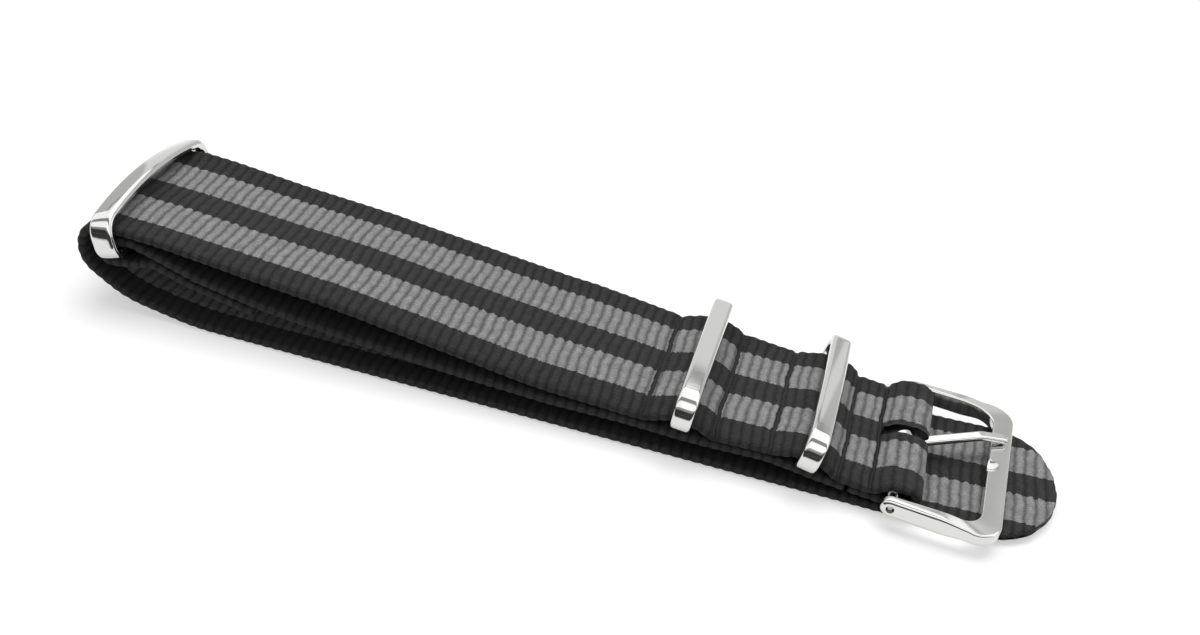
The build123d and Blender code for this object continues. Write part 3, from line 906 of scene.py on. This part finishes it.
def buckle_loop(material):
    """The pin buckle's frame: deep arms with round ends and edges, and a flat front bar."""
    stations = frame_stations()
    vertices = []
    for inner, outer in stations:
        vertices += frame_section(Vector((*inner, 0)), Vector((*outer, 0)))
    size = len(vertices) // len(stations)
    made = mesh_object(
        "buckle_loop", placed(vertices, buckle_place), loft_faces(len(stations), size, False),
        material, "buckle", ["buckle_frame"],
    )
    outward_faces(made.data)
    drill_profile = [(-pin_hole_reach, pin_hole_radius), (pin_hole_reach, pin_hole_radius)]
    drill, drill_faces = turned_profile(drill_profile, drill_steps)
    notch, notch_faces = ball_shape(
        (shoulder_x, -frame_place_across, front_bar_half + notch_rise), notch_radius
    )
    combine(made, "DIFFERENCE", (
        ("pin_drill", placed(drill, buckle_place), drill_faces),
        ("notch_ball", placed(notch, buckle_place), notch_faces),
    ))
    weighted_smooth(made)


def tongue_blade(material):
    """The tongue: a stamped blade, bent once, with an eye that swings on the spring bar."""
    skew = radians(tongue_yaw)
    half_tip = tongue_width / 2
    eye_inner = (bar_radius + bar_clearance) / cos(skew) + half_tip * tan(skew)
    eye_middle = eye_inner + tongue_eye_wall / 2
    rest = front_bar_half + tongue_gap_over_bar + tongue_thickness / 2
    bend = np.array((tongue_bend_from_pivot / cos(skew), rest + tongue_rise_at_bend))
    tip = np.array(((front_edge - tongue_setback) / cos(skew), rest))
    root = bend / np.linalg.norm(bend) * eye_middle
    even, line_x, line_z = bent_line(((*root, 0), (*bend, tongue_bend_radius), (*tip, 0)))
    length = even[-1]

    def blade_middle(along):
        """X and Z of the blade's middle line, at a place along it."""
        return np.array((np.interp(along, even, line_x), np.interp(along, even, line_z)))

    places = np.concatenate((
        np.linspace(0, length - half_tip, 40),
        length - half_tip * (1 - np.sin(np.linspace(0.12, pi / 2 - 0.06, 10))),
    ))
    vertices = []
    for along in places:
        x, z = blade_middle(along)
        ahead = min(along + 0.05, length)
        way = blade_middle(ahead) - blade_middle(ahead - 0.1)
        way /= np.linalg.norm(way)
        past = max(along - (length - half_tip), 0) / half_tip
        share = sqrt(max(1 - past ** 2, 0.004))
        thin = tongue_tip_share + (1 - tongue_tip_share) * share
        width = tongue_width * share
        edge = min(tongue_edge_radius, width * 0.45)
        section = rounded_section(width, tongue_thickness * thin, edge, tongue_edge_steps, 0)
        vertices += [(x - way[1] * up, side, z + way[0] * up) for side, up in section]
    size = len(vertices) // len(places)
    aside = Matrix.Translation((0, tongue_place_across, 0))
    place = buckle_place @ aside @ Matrix.Rotation(skew, 4, "Z")
    made = mesh_object(
        "tongue_blade", placed(vertices, place), loft_faces(len(places), size, False), material,
        "tongue", ["buckle_tongue"],
    )
    outward_faces(made.data)
    section = rounded_section(tongue_width, tongue_eye_wall, tongue_eye_edge_radius, tongue_edge_steps, 0)
    profile = [(side, eye_middle + out) for side, out in section]
    eye, eye_faces = turned_profile(profile, closed=True)
    combine(made, "UNION", (("tongue_eye", placed(eye, place), eye_faces),))
    weighted_smooth(made, tongue_sharp_angle)


def turned_piece(name, profile, closed, body, replaced, material):
    """A turned piece of the spring bar."""
    vertices, faces = turned_profile(profile, closed=closed)
    made = mesh_object(
        name, placed(vertices, buckle_place), faces, material, body, replaced
    )
    outward_faces(made.data)
    weighted_smooth(made)


def spring_bar(material):
    """The spring bar: a thin tube with its ends swaged in, a sprung tip each end and a coil."""
    half_tube = frame_inner_half - tube_end_setback
    end = [
        (half_tube - swage_length, bar_radius), (half_tube - swage_lip, bar_radius - 0.02),
        (half_tube, bar_radius - swage_depth),
    ]
    outer = [(-along, radius) for along, radius in end[::-1]] + end
    inner = [(along, radius - tube_wall) for along, radius in outer[::-1]]
    turned_piece("spring_bar_sleeve", outer + inner, True, "strap", ["spring_bar_tube"], material)

    stem_in = half_tube - tip_stem_engagement
    stem_radius = bar_radius - tube_wall - tip_stem_clearance
    flange_out = frame_inner_half - tip_flange_gap
    flange_in = flange_out - tip_flange_thickness
    pin_out = frame_inner_half + arm_thickness - tip_pin_recess
    tip_profile = [
        (stem_in, stem_radius - 0.06), (stem_in + 0.06, stem_radius), (flange_in, stem_radius),
        (flange_in, tip_flange_radius - tip_edge), (flange_in + tip_edge, tip_flange_radius),
        (flange_out - tip_edge, tip_flange_radius), (flange_out, tip_flange_radius - tip_edge),
        (flange_out, tip_pin_radius), (pin_out - 0.12, tip_pin_radius),
        (pin_out - 0.03, tip_pin_radius - 0.07), (pin_out, tip_pin_radius - 0.18),
    ]
    coil_radius = stem_radius - wire_diameter / 2
    coil_end = stem_in - coil_end_gap
    for end_name, side in (("near", -1), ("far", 1)):
        profile = [(side * along, radius) for along, radius in tip_profile]
        turned_piece(
            "sprung_tip_" + end_name, profile, False, end_name + "_tip",
            ["spring_bar_tip_" + end_name], material,
        )
    for end_name, side in (("near", -1), ("far", 1)):
        coil_half("spring_coil_" + end_name, side, coil_radius, coil_end, material)


def coil_half(name, side, coil_radius, coil_end, material):
    """Half of the coil, from the bar's middle to one tip, which shortens as the tip goes in."""
    steps = coil_turns * coil_steps_per_turn
    vertices = []
    for k in range(steps + 1):
        share = k / steps
        angle = side * 2 * pi * coil_turns * share
        along = side * coil_end * share
        for m in range(wire_sides):
            round_wire = 2 * pi * m / wire_sides
            reach = coil_radius + wire_diameter / 2 * cos(round_wire)
            vertices.append((
                reach * cos(angle), along + wire_diameter / 2 * sin(round_wire),
                reach * sin(angle),
            ))
    coil = mesh_object(
        name, placed(vertices, buckle_place), loft_faces(steps + 1, wire_sides, False), material,
        "strap", ["spring_bar_spring"],
    )
    outward_faces(coil.data)
    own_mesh(coil)


def photo_camera():
    """The camera, at the photograph's place and viewing angle."""
    camera_data = bpy.data.cameras.new("camera")
    camera_data.sensor_width = sensor_width
    camera_data.lens = sensor_width * focal_length_px / photo_width_px
    camera_data.clip_start = 0.005
    camera_data.clip_end = 20
    camera = new_object("camera", camera_data)
    right, up = Vector(camera_right).normalized(), Vector(camera_up).normalized()
    back = right.cross(up)
    camera.matrix_world = Matrix((
        (right.x, up.x, back.x, camera_place[0] * mm),
        (right.y, up.y, back.y, camera_place[1] * mm),
        (right.z, up.z, back.z, camera_place[2] * mm),
        (0, 0, 0, 1),
    ))
    bpy.context.scene.camera = camera


def white_table():
    """The table top, matt white board: it takes the strap's soft shadow, and looks white to the
    eye and in the metal's mirror, while the light that it throws back is that of pale board.
    Past its front edge, mirror rays see it painted dark, a painted reflection of a dark room."""
    board, paler_board, painted_reflection_dark = "#e7e7e7", "#c4c4c4", "#3f3f3f"
    mesh = bpy.data.meshes.new("floor")
    r = table_reach_m
    mesh.from_pydata([(-r, -r, 0), (r, -r, 0), (r, r, 0), (-r, r, 0)], [], [(0, 1, 2, 3)])
    floor = new_object("floor", mesh)
    floor.location.z = -table_drop_m
    material, node = new_material("white_table")
    rays = node("LightPath").node
    place = node("TexCoord", output="Object")
    plain = node("BsdfDiffuse", {"Color": linear(board)})
    paler = node("BsdfDiffuse", {"Color": linear(paler_board)})
    glow = node("Emission", {"Color": white, "Strength": 0.52})
    shown = node("AddShader", {0: paler, 1: glow})
    seen = node(
        "Math", {0: rays.outputs["Is Camera Ray"], 1: rays.outputs["Is Glossy Ray"]},
        {"operation": "MAXIMUM"},
    )
    # Far from the strap the table runs into the white of the background.
    away = node("VectorMath", {0: place}, {"operation": "LENGTH"}, "Value")
    away = node(
        "MapRange", {"Value": away, "From Min": table_white_m[0], "From Max": table_white_m[1]},
        smooth_step,
    )
    background = node("Emission", {"Color": white, "Strength": 1.0})
    shown = node("MixShader", {0: away, 1: shown, 2: background})
    table = node("MixShader", {0: seen, 1: plain, 2: shown})
    # Past the table's front edge, mirror rays see the table painted dark: a painted reflection of a dark
    # room in the metal.
    across = node("SeparateXYZ", {0: place}, output="Y")
    painted_reflection_share = node("MapRange", {
        "Value": across, "From Min": painted_reflection_front[0] * mm, "From Max": painted_reflection_front[1] * mm,
    })
    painted_reflection_share = node("Math", {0: painted_reflection_share, 1: rays.outputs["Is Glossy Ray"]}, multiply)
    painted_reflection = node("BsdfDiffuse", {"Color": linear(painted_reflection_dark)})
    table = node("MixShader", {0: painted_reflection_share, 1: table, 2: painted_reflection})
    node("OutputMaterial", {"Surface": table})
    mesh.materials.append(material)


def studio():
    """The white studio: even fill light, a white background to the eye, and the walls, lamps
    and dark room that the polished metal mirrors."""
    world = bpy.data.worlds.new("studio")
    bpy.context.scene.world = world
    world.use_nodes = True
    world.node_tree.nodes.clear()
    node = partial(add_node, world.node_tree)
    rays = node("LightPath").node
    direction = node("TexCoord", output="Generated")
    direction = node("SeparateXYZ", {0: direction}).node
    fill = node("Background", {"Color": white, "Strength": fill_level})
    background = node("Background", {"Color": white, "Strength": 1.0})
    over = node("Math", {0: direction.outputs["Z"], 1: direction.outputs["Y"]}, arctan2)
    over = node("Math", {0: over, 1: pi}, {"operation": "DIVIDE"})
    aside = node("Math", {0: direction.outputs["X"], 1: direction.outputs["Y"]}, arctan2)
    aside_scale = 180 / studio_sides_span / pi
    aside = node("Math", {0: aside, 1: aside_scale, 2: 0.5}, multiply_add)
    ramps = []
    for angle, levels in (
        (over, [(degrees / 180, level) for degrees, level in studio_levels]),
        (aside, [(0.5 + degrees / studio_sides_span, level) for degrees, level in studio_sides]),
    ):
        ramp = node("ValToRGB", {0: angle})
        stops = ramp.node.color_ramp.elements
        stops.remove(stops[1])
        stops[0].position = levels[0][0]
        stops[0].color = (*[levels[0][1]] * 3, 1)
        for place, level in levels[1:]:
            stops.new(place).color = (level, level, level, 1)
        ramps.append(ramp)
    walls = node("Mix", {0: 1.0, colour_a: ramps[0], colour_b: ramps[1]}, multiply_colours, mixed_colour)
    mirrored = node("Background", {"Color": walls, "Strength": 1.0})
    shown = node("MixShader", {0: rays.outputs["Is Glossy Ray"], 1: fill, 2: mirrored})
    shown = node("MixShader", {0: rays.outputs["Is Camera Ray"], 1: shown, 2: background})
    node("OutputWorld", {"Surface": shown})


def overhead_softbox():
    """One broad lamp over the table, which gives the soft shadow; the metal doesn't mirror it."""
    lamp_data = bpy.data.lights.new("overhead_softbox", "AREA")
    lamp_data.shape = "RECTANGLE"
    lamp_data.size, lamp_data.size_y = softbox_size_m
    lamp_data.energy = softbox_watts
    lamp = new_object("overhead_softbox", lamp_data)
    lamp.location = softbox_place_m
    lamp.rotation_mode = "QUATERNION"
    aim = Vector(softbox_aim_m) - Vector(softbox_place_m)
    lamp.rotation_quaternion = aim.to_track_quat("-Z", "Y")
    lamp.visible_glossy = False


photo_camera()
nylon = woven_nylon()
bright = polished_stainless_steel("bright_polished_steel", 0.05, 0.1)
polished = polished_stainless_steel("tumble_polished_steel", 0.1, 0.16)
drawn = drawn_spring_steel()

main_webbing(nylon)
flap_webbing(nylon)
for ring_name, ring_values in rings.items():
    bent_ring(ring_name, *ring_values, bright)
buckle_loop(polished)
tongue_blade(polished)
spring_bar(drawn)

white_table()
studio()
overhead_softbox()
bpy.context.scene.view_settings.view_transform = "Standard"
